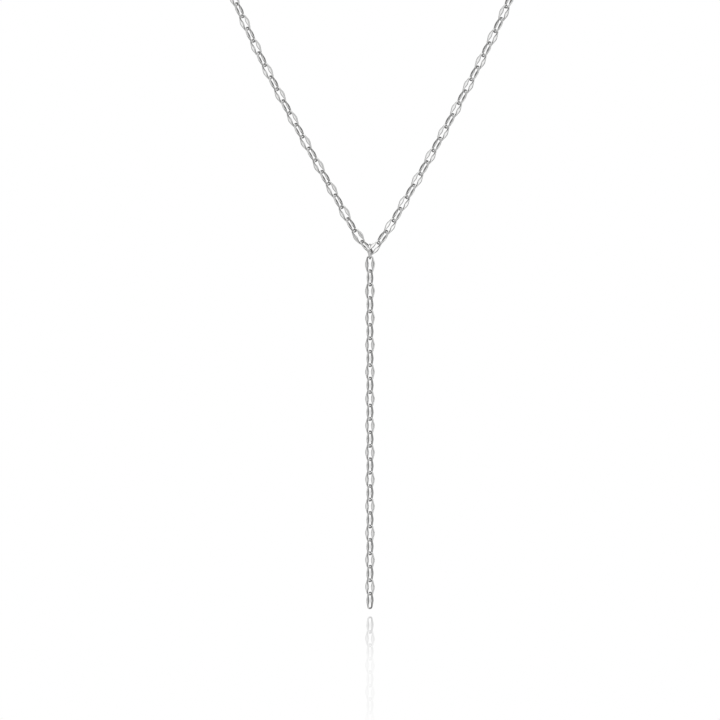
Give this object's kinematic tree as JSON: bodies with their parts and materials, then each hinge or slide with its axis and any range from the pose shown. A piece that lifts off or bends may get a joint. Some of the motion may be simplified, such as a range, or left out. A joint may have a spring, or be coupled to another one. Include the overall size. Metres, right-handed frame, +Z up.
{
  "type": "y necklace",
  "caption": "Y necklace of interlocked oval links with pressed flat pads: a neck loop whose V holds a straight hanging chain on a round wire ring.",
  "frame": {"origin": "middle of the clasp, where the necklace rests on the nape", "axes": "+Z up, -Y is the way the wearer faces, +X is to the right in the front view"},
  "size_m": [0.1041, 0.0954, 0.2287],
  "materials": {
    "polished_silver": "bright polished silver",
    "clasp_silver": "polished silver, a little softer than the chain"
  },
  "bodies": {
    "root": {"neck_chain_left": "polished_silver", "neck_chain_right": "polished_silver", "joining_ring": "polished_silver", "drop_chain": "polished_silver", "clasp": "clasp_silver"}
  },
  "joints": []
}
